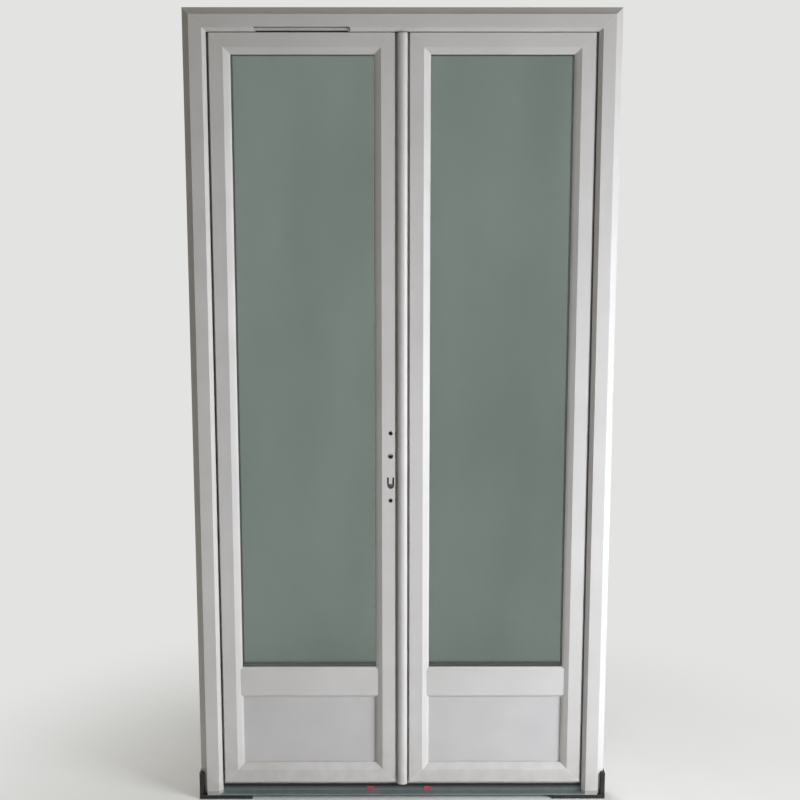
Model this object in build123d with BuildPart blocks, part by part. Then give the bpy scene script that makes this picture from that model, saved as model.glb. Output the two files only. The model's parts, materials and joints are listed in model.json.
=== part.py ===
from build123d import *
import os
from math import acos, ceil, cos, pi, radians, sin, tan

# French doors of white welded profile: two leaves that open inwards in a frame on a low threshold
# X runs across the doors, Y into the room and Z up, in millimetres
# The origin is on the ground, under the middle of the doors

# Whole frame, measured without the boots that it stands on
overall_width = 1190
frame_height = 2250

# Frame profile: reach counts from its outer edge towards the opening, depth from its outside face
strip_width = 20
strip_step = 6
strip_depth = 24
frame_face = 35
frame_bevel = 10
stop_depth = 24
rebate_reach = 45
frame_depth = 70
wall = 2.8
web = 1.8
frame_chamber_split = 57

# Threshold and the blocks under the jambs
end_block_height = 13
threshold_nose = 3
threshold_slope_depth = 20
threshold_slope_top = 7
threshold_stop_top = 23
threshold_floor = 10
threshold_wall = 1.8
threshold_rib_depths = (42, 58)

# Gaps round the leaves
side_gap = 7.5
head_gap = 2.5
sill_gap = 37.5
nose_gap = 7

# Leaf profile: reach counts from the outer edge of its face towards the glass
leaf_setback = 10
leaf_face = 37.5
facet_width = 13.2
facet_drop = 7
lip_width = 5.8
lip_drop = 4.5
lip_edge = 1
bead_height = 18
bead_side = 14
bead_slope = 5
bead_slope_drop = 3
bead_back = 9
landing_depth = 27
landing = 14.5
overlap = 34.5
overlap_front = 72
leaf_back = 84
passive_recess_front = 70
passive_flange_start = 4.5
leaf_chamber_front = 28.8

# Groove along the edge of each leaf for the drive rods
groove_depth_centre = 50
plate_groove_width = 16.4
plate_groove_depth = 2.6
rod_groove_width = 12
rod_groove_depth = 8

# Glazing and panel
glazing_gasket = 3
pane = 4
cavity = 20
spacer_width = 7
glass_cover = 13
gasket_cover = 9
gasket_lip = 0.6
setting_block_length = 100

# Rail between glass and panel
mid_rail_height = 343.5
mid_rail_face = 78
mid_rail_setback = 17
mid_rail_bevel = 7

# Cover strip between the leaves
nose_width = 27
nose_front = 2
nose_shoulder = 8
nose_back = 24
nose_wall = 2
nose_drop = 6
nose_leg = 2.5
nose_leg_end = 66
nose_cap = 3

# Seals
seal_thickness = 2.7
seal_cover = 8
seal_lip = 2
overlap_seal_gap = 0.3
overlap_seal_width = 5
overlap_seal_inset = 1.5

# Steel bars inside the profiles
steel_gap = 0.3
steel_wall = 1.5
steel_end_gap = 60

# Hinges
hinge_from_bottom = 230
hinge_from_top = 290
hinge_offset = 8
hinge_depth = 92
knuckle_radius = 7.5
knuckle_length = 40
knuckle_gap = 0.3
pin_radius = 4
pin_fit = 0.02
pin_clearance = 0.05
hinge_plate = 3
hinge_plate_width = 18
hinge_plate_gap = 1
hinge_arm_width = 5
hinge_tuck = 1

# Lock in the meeting stile of the left leaf
spindle_height = 1019
backset = 27.6
case_front_gap = 0.1
case_depth = 43
case_thickness = 16
case_wall = 2
case_above = 52
case_below = 122
case_clearance = 0.2
faceplate_thickness = 2.4
faceplate_width = 16
faceplate_end_gap = 60
spindle_hole = 15
screw_hole = 12
screw_above = 66
screw_below = 129
cylinder_below = 70
cylinder_above_axis = 8.5
cylinder_below_axis = 24.5
cylinder_width = 20
tongue_width = 10.5
tongue_height = 19.5
tongue_recess = 1.2

# Gear in the lock: one pinion moves the two rods apart
rack_pitch = 4
pinion_teeth = 18
pressure_angle = 20
tooth_root_depth = 1.25  # in tooth modules
tooth_play = 0.1
rod_travel = 18
rod_clearance = 0.3
rack_thickness = 2.5
arm_height = 10
foot_height = 6
pinion_thickness = 8
journal_radius = 7
journal_clearance = 0.05
square_hole = 7

# Bolts that move out of the leaves' edges
deadbolt_width = 8
deadbolt_height = 20
deadbolt_throw = 12
deadbolt_hold = 3.5
bolt_clearance = 0.3
shoot_bolt_length = 240

# Keeps, whose holes are larger than the bolts on each side, and packers
keep_clearance = 0.6
keep_thickness = 2
keep_length = 70
keep_depth = 30
strike_height = 80
strike_thickness = 1.5
packer_width = 20
packer_thickness = 3
packer_top = 19
packer_places = (-94, 74)

# Slot for air, milled in the head above the left leaf
vent_length = 263
vent_height = 13
vent_recess = 11
vent_passage = 3

# Black boots on the lower corners
boot_thickness = 12
boot_length = 155
boot_upright = 66
boot_wall = 3
boot_lip_front = 3
boot_lip_width = 9
boot_round = 5.5

# Lengths by which cuts and unmitred bars run past what they meet
overrun = 60
cut_margin = 1

# Heights and places that follow from the sizes above
front_face = -(hinge_depth + knuckle_radius) / 2
half_width = overall_width / 2
ground = boot_thickness
frame_top = ground + frame_height
stop_reach = strip_width + frame_face + frame_bevel
opening_half = half_width - stop_reach
rebate_half = half_width - rebate_reach
leaf_outer = opening_half - side_gap
leaf_inner = nose_width / 2 + nose_gap
leaf_bottom = ground + sill_gap
leaf_top = frame_top - stop_reach - head_gap
knee = leaf_face + facet_width
sight = knee + lip_width
lip_depth = leaf_setback + facet_drop + lip_drop
upstand_back = lip_depth + lip_edge
glass_front = upstand_back + glazing_gasket
glass_back = glass_front + 2 * pane + cavity
bead_front = glass_back + glazing_gasket
bead_seat = sight - bead_height
half_face = mid_rail_face / 2
half_sight = half_face + mid_rail_bevel
half_body = half_sight - bead_height
mid_rail_centre = ground + mid_rail_height
left_leaf = (-leaf_outer, -leaf_inner, leaf_bottom, leaf_top)
right_leaf = (leaf_inner, leaf_outer, leaf_bottom, leaf_top)
edge_x = -leaf_inner + landing
spindle_x = edge_x - backset
spindle_z = ground + spindle_height
hinge_x = leaf_outer + overlap + hinge_offset
pinion_radius = rack_pitch * pinion_teeth / (2 * pi)
rod_x = edge_x - plate_groove_depth - rod_groove_depth / 2
rod_width = rod_groove_width - 2 * rod_clearance
rod_thickness = rod_groove_depth - 2 * rod_clearance
rod_hole = (rod_thickness + 2 * keep_clearance, rod_width + 2 * keep_clearance)
deadbolt_hole = (deadbolt_width + 2 * keep_clearance, deadbolt_height + 2 * keep_clearance)

INTO_ROOM = Vector(0, 1, 0)
SIDES = {
    "left": Vector(1, 0, 0),
    "top": Vector(0, 0, -1),
    "right": Vector(-1, 0, 0),
    "bottom": Vector(0, 0, 1),
}


def wall_plane(depth):
    """Plane across the doors at a depth behind the frame's face, looked at from outside"""
    return Plane((0, front_face + depth, 0), x_dir=(1, 0, 0), z_dir=(0, -1, 0))


def side_plane(side, box):
    """Start of one side of a rectangle, with the profile's x pointing inwards and its y into the room"""
    low_x, high_x, low_z, high_z = box
    corner = {
        "left": (low_x, low_z),
        "top": (low_x, high_z),
        "right": (high_x, high_z),
        "bottom": (high_x, low_z),
    }[side]
    inward = SIDES[side]
    return Plane((corner[0], front_face, corner[1]), x_dir=inward, z_dir=inward.cross(INTO_ROOM))


def side_length(side, box):
    """Length of one side of a rectangle"""
    low_x, high_x, low_z, high_z = box
    return high_z - low_z if side in ("left", "right") else high_x - low_x


def grown(box, margin):
    """Rectangle with its four sides moved outwards by a margin"""
    low_x, high_x, low_z, high_z = box
    return (low_x - margin, high_x + margin, low_z - margin, high_z + margin)


def profile_bar(outline, chambers, side, box, start_mitred=True, end_mitred=True):
    """Profile run along one side of a rectangle, with its chambers open and its ends mitred or square"""
    plane = side_plane(side, box)
    length = side_length(side, box)
    start_overrun = overrun if start_mitred else 0
    end_overrun = overrun if end_mitred else 0
    far_end = plane.offset(length)
    with BuildPart() as bar:
        with BuildSketch(plane.offset(-start_overrun)):
            with BuildLine():
                Polyline(*outline, close=True)
            make_face()
            for low, high in chambers:
                with Locations(((low[0] + high[0]) / 2, (low[1] + high[1]) / 2)):
                    Rectangle(high[0] - low[0], high[1] - low[1], mode=Mode.SUBTRACT)
        extrude(amount=length + start_overrun + end_overrun)
        if start_mitred:
            split(bisect_by=Plane(plane.origin, z_dir=plane.z_dir - plane.x_dir), keep=Keep.TOP)
        if end_mitred:
            split(bisect_by=Plane(far_end.origin, z_dir=-plane.z_dir - plane.x_dir), keep=Keep.TOP)
    return bar.part


def block(x_range, depth_range, z_range):
    """Plain block between two places across, in depth and in height"""
    with BuildPart() as piece:
        with BuildSketch(wall_plane(depth_range[0])):
            with Locations(((x_range[0] + x_range[1]) / 2, (z_range[0] + z_range[1]) / 2)):
                Rectangle(x_range[1] - x_range[0], z_range[1] - z_range[0])
        extrude(amount=depth_range[0] - depth_range[1])
    return piece.part


def ring(outer, inner, depth_range):
    """Rectangular ring between two boxes"""
    with BuildPart() as piece:
        with BuildSketch(wall_plane(depth_range[0])):
            for box, mode in ((outer, Mode.ADD), (inner, Mode.SUBTRACT)):
                with Locations(((box[0] + box[1]) / 2, (box[2] + box[3]) / 2)):
                    Rectangle(box[1] - box[0], box[3] - box[2], mode=mode)
        extrude(amount=depth_range[0] - depth_range[1])
    return piece.part


def joined(pieces):
    """Separate solids kept together as one piece"""
    return Compound(children=[solid for piece in pieces for solid in piece.solids()])


def write(piece, label):
    """Give a finished piece its name and write it"""
    piece.label = label
    export_step(piece, f"parts/{label}.step")


os.makedirs("parts", exist_ok=True)

# Frame: two jambs and a head, welded at mitred corners
frame_box = (-half_width, half_width, ground + end_block_height, frame_top)
frame_outline = [
    (0, strip_depth),
    (strip_width, strip_step),
    (strip_width, 0),
    (strip_width + frame_face, 0),
    (stop_reach, frame_bevel),
    (stop_reach, stop_depth),
    (rebate_reach, stop_depth),
    (rebate_reach, frame_depth),
    (0, frame_depth),
]
frame_chambers = [
    ((strip_width + wall, wall), (strip_width + frame_face, stop_depth - wall)),
    ((wall, strip_depth + wall), (rebate_reach - wall, frame_chamber_split - web / 2)),
    ((wall, frame_chamber_split + web / 2), (rebate_reach - wall, frame_depth - wall)),
]
jamb_left = profile_bar(frame_outline, frame_chambers, "left", frame_box, start_mitred=False)
jamb_right = profile_bar(frame_outline, frame_chambers, "right", frame_box, end_mitred=False)
write(jamb_left, "frame_jamb_left")
write(jamb_right, "frame_jamb_right")

leaf_centre = (leaf_outer + leaf_inner) / 2
stop_edge_z = frame_top - stop_reach
rebate_z = frame_top - rebate_reach
with BuildPart() as frame_head:
    add(profile_bar(frame_outline, frame_chambers, "top", frame_box))
    # Slot for air above the left leaf: a recess in the bevel, and a low passage on through the stop
    with BuildSketch(wall_plane(0)):
        with Locations((-leaf_centre, stop_edge_z + frame_bevel / 2)):
            SlotOverall(vent_length, vent_height)
    extrude(amount=-vent_recess, mode=Mode.SUBTRACT)
    with BuildSketch(wall_plane(0)):
        with Locations((-leaf_centre, stop_edge_z + vent_passage / 2)):
            Rectangle(vent_length - vent_height, vent_passage)
    extrude(amount=-stop_depth, mode=Mode.SUBTRACT)
    # Holes for the two bolts that run up into the head
    with BuildSketch(Plane((0, front_face, rebate_z))):
        with Locations((rod_x, groove_depth_centre), (-rod_x, groove_depth_centre)):
            Rectangle(*rod_hole)
    extrude(amount=wall, mode=Mode.SUBTRACT)
write(frame_head.part, "frame_head")

# Blocks under the jambs, with the outline of the frame
end_block_box = (-half_width, half_width, ground, ground + end_block_height)
for name, side in (("left", "left"), ("right", "right")):
    end_block = profile_bar(frame_outline, [], side, end_block_box, False, False)
    write(end_block, f"threshold_end_{name}")

# Threshold: a hollow aluminium bar, cut to fit round both jambs
threshold_outline = [
    (0, 0),
    (0, threshold_nose),
    (threshold_slope_depth, threshold_slope_top),
    (threshold_slope_depth, threshold_stop_top),
    (stop_depth, threshold_stop_top),
    (stop_depth, threshold_floor),
    (frame_depth, threshold_floor),
    (frame_depth, 0),
]
rib_edges = [stop_depth, *threshold_rib_depths, frame_depth - threshold_wall / 2]
full_height_box = (-half_width, half_width, ground, frame_top)
with BuildPart() as threshold:
    with BuildSketch(Plane((-rebate_half, front_face, ground), x_dir=(0, 1, 0), z_dir=(1, 0, 0))):
        with BuildLine():
            Polyline(*threshold_outline, close=True)
        make_face()
        for low, high in zip(rib_edges, rib_edges[1:]):
            with Locations(((low + high) / 2, threshold_floor / 2)):
                Rectangle(
                    high - low - threshold_wall,
                    threshold_floor - 2 * threshold_wall,
                    mode=Mode.SUBTRACT,
                )
    extrude(amount=2 * rebate_half)
    for side in ("left", "right"):
        add(profile_bar(frame_outline, [], side, full_height_box, False, False), mode=Mode.SUBTRACT)
    with BuildSketch(Plane((0, front_face, ground + threshold_floor))):
        with Locations((rod_x, groove_depth_centre), (-rod_x, groove_depth_centre)):
            Rectangle(*rod_hole)
    extrude(amount=-threshold_wall, mode=Mode.SUBTRACT)
write(threshold.part, "threshold")

# Keeps in the head and on the threshold, with a hole for each bolt
for name, start_z in (
    ("head_keep", rebate_z - keep_thickness),
    ("threshold_keep", ground + threshold_floor),
):
    with BuildPart() as keep:
        with BuildSketch(Plane((0, front_face + groove_depth_centre, start_z))):
            RectangleRounded(keep_length, keep_depth, keep_thickness)
            with Locations((rod_x, 0), (-rod_x, 0)):
                Rectangle(*rod_hole, mode=Mode.SUBTRACT)
        extrude(amount=keep_thickness)
    write(keep.part, name)

# Seal round the opening, on the back of the frame's stop
seal_opening = (-opening_half, opening_half, ground + threshold_stop_top, stop_edge_z)
frame_seal = ring(
    grown(seal_opening, seal_cover),
    grown(seal_opening, -seal_lip),
    (stop_depth, stop_depth + seal_thickness),
)
write(frame_seal, "frame_seal")

# Packers that stand on the threshold's slope against its stop
packer_depth = threshold_slope_depth - packer_thickness
slope_rise = (threshold_slope_top - threshold_nose) / threshold_slope_depth
packer_bottom = threshold_nose + slope_rise * packer_depth
packers = []
for place in packer_places:
    with BuildPart() as packer:
        with BuildSketch(
            Plane((place - packer_width / 2, front_face, ground), x_dir=(0, 1, 0), z_dir=(1, 0, 0))
        ):
            with BuildLine():
                Polyline(
                    (packer_depth, packer_bottom),
                    (packer_depth, packer_top),
                    (threshold_slope_depth, packer_top),
                    (threshold_slope_depth, threshold_slope_top),
                    close=True,
                )
            make_face()
        extrude(amount=packer_width)
    packers.append(packer.part)
write(joined(packers), "threshold_packers")

# Rubber boots: a foot under each end and an upright round the jamb's outer edge
for name, turn in (("left", -1), ("right", 1)):
    outer_x = turn * (half_width + boot_wall)
    lip_x = turn * (half_width - boot_lip_width)
    toe_x = turn * (half_width + boot_wall - boot_length)
    with BuildPart() as boot:
        with BuildSketch(wall_plane(0)):
            with BuildLine():
                Polyline(
                    (outer_x, 0),
                    (outer_x, ground + boot_upright),
                    (lip_x, ground + boot_upright),
                    (lip_x, ground),
                    (toe_x, ground),
                    (toe_x, 0),
                    close=True,
                )
            boot_face = make_face()
            corners = boot_face.vertices()
            fillet(corners.sort_by(Axis.Z)[-2:], boot_round)
            fillet(corners.sort_by(Axis.Z)[:2].sort_by(Axis.X)[0 if turn < 0 else -1], boot_round)
        extrude(amount=-frame_depth)
        add(block(sorted((lip_x, outer_x)), (0, boot_lip_front), (ground, frame_top)), mode=Mode.SUBTRACT)
        add(profile_bar(frame_outline, [], name, full_height_box, False, False), mode=Mode.SUBTRACT)
    write(boot.part, f"sill_boot_{name}")

# Leaves: each is welded from four bars, with a rail fitted between glass and panel


def leaf_outline(reach, front):
    """Outline of a leaf bar, with its inner flange up to a reach and set off from a depth"""
    edge = -landing
    plate_floor = edge + plate_groove_depth
    rod_floor = plate_floor + rod_groove_depth
    plate_low = groove_depth_centre - plate_groove_width / 2
    plate_high = groove_depth_centre + plate_groove_width / 2
    rod_low = groove_depth_centre - rod_groove_width / 2
    rod_high = groove_depth_centre + rod_groove_width / 2
    return [
        (0, leaf_setback),
        (leaf_face, leaf_setback),
        (knee, leaf_setback + facet_drop),
        (sight, lip_depth),
        (sight, upstand_back),
        (bead_seat, upstand_back),
        (bead_seat, leaf_back),
        (-reach, leaf_back),
        (-reach, front),
        (edge, front),
        (edge, plate_high),
        (plate_floor, plate_high),
        (plate_floor, rod_high),
        (rod_floor, rod_high),
        (rod_floor, rod_low),
        (plate_floor, rod_low),
        (plate_floor, plate_low),
        (edge, plate_low),
        (edge, landing_depth),
        (0, landing_depth),
    ]


def leaf_chambers(reach, front):
    """Chambers of a leaf bar: behind the face, in the middle for the steel, and in the inner flange"""
    rod_floor = -landing + plate_groove_depth + rod_groove_depth
    inner_wall = bead_seat - wall
    return [
        ((wall, leaf_setback + wall), (inner_wall, landing_depth - web)),
        ((rod_floor + wall, leaf_chamber_front), (inner_wall, front - wall)),
        ((-reach + wall, front + wall), (inner_wall, leaf_back - wall)),
    ]


def sight_boxes(leaf):
    """Openings of a leaf between the edges of its bevels: glass above, panel below"""
    low_x, high_x = leaf[0] + sight, leaf[1] - sight
    glass = (low_x, high_x, mid_rail_centre + half_sight, leaf[3] - sight)
    panel = (low_x, high_x, leaf[2] + sight, mid_rail_centre - half_sight)
    return glass, panel


active_outline = leaf_outline(overlap, overlap_front)
active_chambers = leaf_chambers(overlap, overlap_front)
passive_outline = leaf_outline(-passive_flange_start, passive_recess_front)
passive_chambers = leaf_chambers(-passive_flange_start, passive_recess_front)

bead_outline = [
    (0, bead_front),
    (bead_height, bead_front),
    (bead_height, bead_front + bead_side),
    (bead_height - bead_slope, leaf_back - bead_slope_drop),
    (bead_back, leaf_back),
    (0, leaf_back),
]

mid_rail_outline = [
    (-half_face, mid_rail_setback),
    (half_face, mid_rail_setback),
    (half_sight, lip_depth),
    (half_sight, upstand_back),
    (half_body, upstand_back),
    (half_body, leaf_back),
    (-half_body, leaf_back),
    (-half_body, upstand_back),
    (-half_sight, upstand_back),
    (-half_sight, lip_depth),
]
mid_rail_split = (upstand_back + leaf_back) / 2
mid_rail_chambers = [
    ((-half_body + wall, upstand_back + wall), (half_body - wall, mid_rail_split - web / 2)),
    ((-half_body + wall, mid_rail_split + web / 2), (half_body - wall, leaf_back - wall)),
]

flange_limit = leaf_inner - passive_flange_start


def build_rails(name, leaf):
    """Top and bottom rails of a leaf; on the right leaf their inner flange stops at the overlap"""
    for rail, side in (("top", "top"), ("bottom", "bottom")):
        with BuildPart() as leaf_rail:
            add(profile_bar(active_outline, active_chambers, side, leaf))
            if name == "right":
                recess = block(
                    (-overlap, flange_limit),
                    (passive_recess_front, leaf_back + cut_margin),
                    (leaf_bottom - overlap - cut_margin, leaf_top + overlap + cut_margin),
                )
                add(recess, mode=Mode.SUBTRACT)
        write(leaf_rail.part, f"{name}_{rail}_rail")


def build_mid_rail(name, leaf, stile_outlines):
    """Rail between glass and panel, with its ends cut to the bevels of both stiles"""
    length = leaf[1] - leaf[0]
    with BuildPart() as mid_rail:
        start = Plane(
            (leaf[1], front_face, mid_rail_centre), x_dir=(0, 0, 1), z_dir=(-1, 0, 0)
        )
        with BuildSketch(start.offset(bead_seat)):
            with BuildLine():
                Polyline(*mid_rail_outline, close=True)
            make_face()
            for low, high in mid_rail_chambers:
                with Locations((0, (low[1] + high[1]) / 2)):
                    Rectangle(high[0] - low[0], high[1] - low[1], mode=Mode.SUBTRACT)
        extrude(amount=length - 2 * bead_seat)
        for side, outline in stile_outlines.items():
            add(profile_bar(outline, [], side, leaf, False, False), mode=Mode.SUBTRACT)
    write(mid_rail.part, f"{name}_mid_rail")


def build_glazing(name, leaf):
    """Panes, spacer, panel, beads, gaskets and setting blocks of a leaf"""
    glass_box, panel_box = sight_boxes(leaf)
    pane_box = grown(glass_box, glass_cover)
    write(block(pane_box[:2], (glass_front, glass_front + pane), pane_box[2:]), f"{name}_outer_pane")
    write(block(pane_box[:2], (glass_back - pane, glass_back), pane_box[2:]), f"{name}_inner_pane")
    spacer = ring(
        grown(pane_box, -(glass_cover - spacer_width)),
        grown(pane_box, -glass_cover),
        (glass_front + pane, glass_back - pane),
    )
    write(spacer, f"{name}_glass_spacer")
    fill_box = grown(panel_box, glass_cover)
    write(block(fill_box[:2], (glass_front, glass_back), fill_box[2:]), f"{name}_panel")
    beads, gaskets, blocks = [], [], []
    for box in (glass_box, panel_box):
        seat_box = grown(box, bead_height)
        for side in SIDES:
            beads.append(profile_bar(bead_outline, [], side, seat_box))
        for depth in (upstand_back, glass_back):
            gaskets.append(
                ring(grown(box, gasket_cover), grown(box, -gasket_lip), (depth, depth + glazing_gasket))
            )
        for place in (box[0] + setting_block_length, box[1] - setting_block_length):
            blocks.append(
                block(
                    (place - setting_block_length / 2, place + setting_block_length / 2),
                    (glass_front, glass_back),
                    (box[2] - bead_height, box[2] - glass_cover),
                )
            )
    write(joined(beads), f"{name}_glazing_beads")
    write(joined(gaskets), f"{name}_glazing_gaskets")
    write(joined(blocks), f"{name}_setting_blocks")


# Left leaf, which opens first
write(profile_bar(active_outline, active_chambers, "left", left_leaf), "left_hinge_stile")
case_front = edge_x - plate_groove_depth - case_front_gap
case_box = (
    (case_front - case_depth, case_front),
    (groove_depth_centre - case_thickness / 2, groove_depth_centre + case_thickness / 2),
    (spindle_z - case_below, spindle_z + case_above),
)
pocket = block(
    (case_box[0][0] - case_clearance, edge_x),
    (case_box[1][0] - case_clearance, case_box[1][1] + case_clearance),
    (case_box[2][0] - case_clearance, case_box[2][1] + case_clearance),
)
cylinder_z = spindle_z - cylinder_below
bowl_z = cylinder_z - cylinder_below_axis + cylinder_width / 2
hole_top = cylinder_z + cylinder_above_axis


def cylinder_hole(depth, tongue=False):
    """Outline of the hole for a lock cylinder: square above, round below, with or without its tongue"""
    with BuildSketch(wall_plane(depth)) as hole:
        with Locations((spindle_x, (hole_top + bowl_z) / 2)):
            Rectangle(cylinder_width, hole_top - bowl_z)
        with Locations((spindle_x, bowl_z)):
            Circle(cylinder_width / 2)
        if tongue:
            with Locations((spindle_x, hole_top - tongue_height / 2)):
                Rectangle(tongue_width, tongue_height, mode=Mode.SUBTRACT)
    return hole.sketch


with BuildPart() as left_meeting_stile:
    add(profile_bar(active_outline, active_chambers, "right", left_leaf))
    add(pocket, mode=Mode.SUBTRACT)
    # Holes for the handle's spindle and its two screws, right through the stile
    with BuildSketch(wall_plane(0)):
        with Locations((spindle_x, spindle_z)):
            Circle(spindle_hole / 2)
        with Locations((spindle_x, spindle_z + screw_above), (spindle_x, spindle_z - screw_below)):
            Circle(screw_hole / 2)
    extrude(amount=-leaf_back, mode=Mode.SUBTRACT)
    # Hole for a lock cylinder, right through, but for a tongue left in the outer wall
    tongue_front = leaf_setback + tongue_recess
    tongue_back = leaf_setback + wall
    extrude(cylinder_hole(0), amount=-tongue_front, mode=Mode.SUBTRACT)
    extrude(cylinder_hole(tongue_front, tongue=True), amount=tongue_front - tongue_back, mode=Mode.SUBTRACT)
    extrude(cylinder_hole(tongue_back), amount=tongue_back - leaf_back, mode=Mode.SUBTRACT)
write(left_meeting_stile.part, "left_meeting_stile")
build_rails("left", left_leaf)
build_mid_rail("left", left_leaf, {"left": active_outline, "right": active_outline})
build_glazing("left", left_leaf)

# Right leaf, which is held by its bolts and opens second
write(profile_bar(passive_outline, passive_chambers, "left", right_leaf), "right_meeting_stile")
write(profile_bar(active_outline, active_chambers, "right", right_leaf), "right_hinge_stile")
build_rails("right", right_leaf)
build_mid_rail("right", right_leaf, {"left": passive_outline, "right": active_outline})
build_glazing("right", right_leaf)

# Seals under the inner flanges, which close on the frame and on the right leaf
for name, leaf in (("left", left_leaf), ("right", right_leaf)):
    seal_box = grown(leaf, overlap - overlap_seal_inset)
    seal_depths = (frame_depth + overlap_seal_gap, overlap_front)
    with BuildPart() as overlap_seal:
        add(ring(seal_box, grown(seal_box, -overlap_seal_width), seal_depths))
        if name == "right":
            add(
                block((-overlap, flange_limit), (0, leaf_back), (0, frame_top)),
                mode=Mode.SUBTRACT,
            )
    write(overlap_seal.part, f"{name}_overlap_seal")

# Cover strip on the edge of the right leaf, with its leg along that edge
half_nose = nose_width / 2
leg_x = -edge_x
nose_bottom = leaf_bottom - nose_drop
nose_bow = ((-half_nose, nose_shoulder), (0, nose_front), (half_nose, nose_shoulder))
with BuildPart() as astragal:
    with BuildSketch(Plane((0, front_face, nose_bottom + nose_cap))):
        with BuildLine():
            ThreePointArc(*nose_bow)
            Polyline(
                (half_nose, nose_shoulder),
                (half_nose, landing_depth),
                (leg_x, landing_depth),
                (leg_x, nose_leg_end),
                (leg_x - nose_leg, nose_leg_end),
                (leg_x - nose_leg, nose_back),
                (-half_nose, nose_back),
                (-half_nose, nose_shoulder),
            )
        make_face()
        with Locations((0, (nose_shoulder + nose_back) / 2)):
            Rectangle(
                nose_width - 2 * nose_wall,
                nose_back - nose_shoulder - 2 * nose_wall,
                mode=Mode.SUBTRACT,
            )
    extrude(amount=leaf_top - nose_bottom - 2 * nose_cap)
    # Window for the deadbolt
    with BuildSketch(Plane((leg_x, front_face, 0), x_dir=(0, 1, 0), z_dir=(1, 0, 0))):
        with Locations((groove_depth_centre, cylinder_z)):
            Rectangle(*deadbolt_hole)
    extrude(amount=-nose_leg, mode=Mode.SUBTRACT)
write(astragal.part, "astragal")

caps = []
for start_z in (nose_bottom, leaf_top - nose_cap):
    with BuildPart() as cap:
        with BuildSketch(Plane((0, front_face, start_z))):
            with BuildLine():
                ThreePointArc(*nose_bow)
                Polyline(
                    (half_nose, nose_shoulder),
                    (half_nose, nose_back),
                    (-half_nose, nose_back),
                    (-half_nose, nose_shoulder),
                )
            make_face()
        extrude(amount=nose_cap)
    caps.append(cap.part)
write(joined(caps), "astragal_caps")

strike_x = leg_x - nose_leg
with BuildPart() as strike:
    with BuildSketch(Plane((strike_x, front_face, 0), x_dir=(0, 1, 0), z_dir=(1, 0, 0))):
        with Locations((groove_depth_centre, cylinder_z)):
            RectangleRounded(faceplate_width, strike_height, strike_thickness)
            Rectangle(*deadbolt_hole, mode=Mode.SUBTRACT)
    extrude(amount=-strike_thickness)
write(strike.part, "strike_plate")

# Steel bars in the middle chambers: short of the corners, and in two lengths beside the lock


def steel_bar(side, box, chamber, start_gap=steel_end_gap, end_gap=steel_end_gap):
    """Open steel channel in one chamber of a bar"""
    low, high = chamber
    near, far = low[0] + steel_gap, high[0] - steel_gap
    face, back = low[1] + steel_gap, high[1] - steel_gap
    channel = [
        (near, face),
        (far, face),
        (far, back),
        (near, back),
        (near, back - steel_wall),
        (far - steel_wall, back - steel_wall),
        (far - steel_wall, face + steel_wall),
        (near, face + steel_wall),
    ]
    plane = side_plane(side, box)
    with BuildPart() as bar:
        with BuildSketch(plane.offset(start_gap)):
            with BuildLine():
                Polyline(*channel, close=True)
            make_face()
        extrude(amount=side_length(side, box) - start_gap - end_gap)
    return bar.part


with BuildPart() as head_steel:
    add(steel_bar("top", frame_box, frame_chambers[1]))
    # Holes for the two bolts that run up into the head
    with BuildSketch(Plane((0, front_face, rebate_z))):
        with Locations((rod_x, groove_depth_centre), (-rod_x, groove_depth_centre)):
            Rectangle(*rod_hole)
    extrude(amount=rod_travel, mode=Mode.SUBTRACT)
jamb_steel = [steel_bar(side, frame_box, frame_chambers[1]) for side in ("left", "right")]
write(joined([head_steel.part, *jamb_steel]), "frame_steel")

above_lock = spindle_z + screw_above + screw_hole - leaf_bottom
below_lock = leaf_top - (spindle_z - screw_below - screw_hole)
left_steel = [steel_bar(side, left_leaf, active_chambers[1]) for side in ("left", "top", "bottom")]
left_steel += [
    steel_bar("right", left_leaf, active_chambers[1], end_gap=above_lock),
    steel_bar("right", left_leaf, active_chambers[1], start_gap=below_lock),
]
write(joined(left_steel), "left_steel")
right_steel = [steel_bar(side, right_leaf, active_chambers[1]) for side in ("right", "top", "bottom")]
right_steel.append(steel_bar("left", right_leaf, passive_chambers[1]))
write(joined(right_steel), "right_steel")

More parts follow.
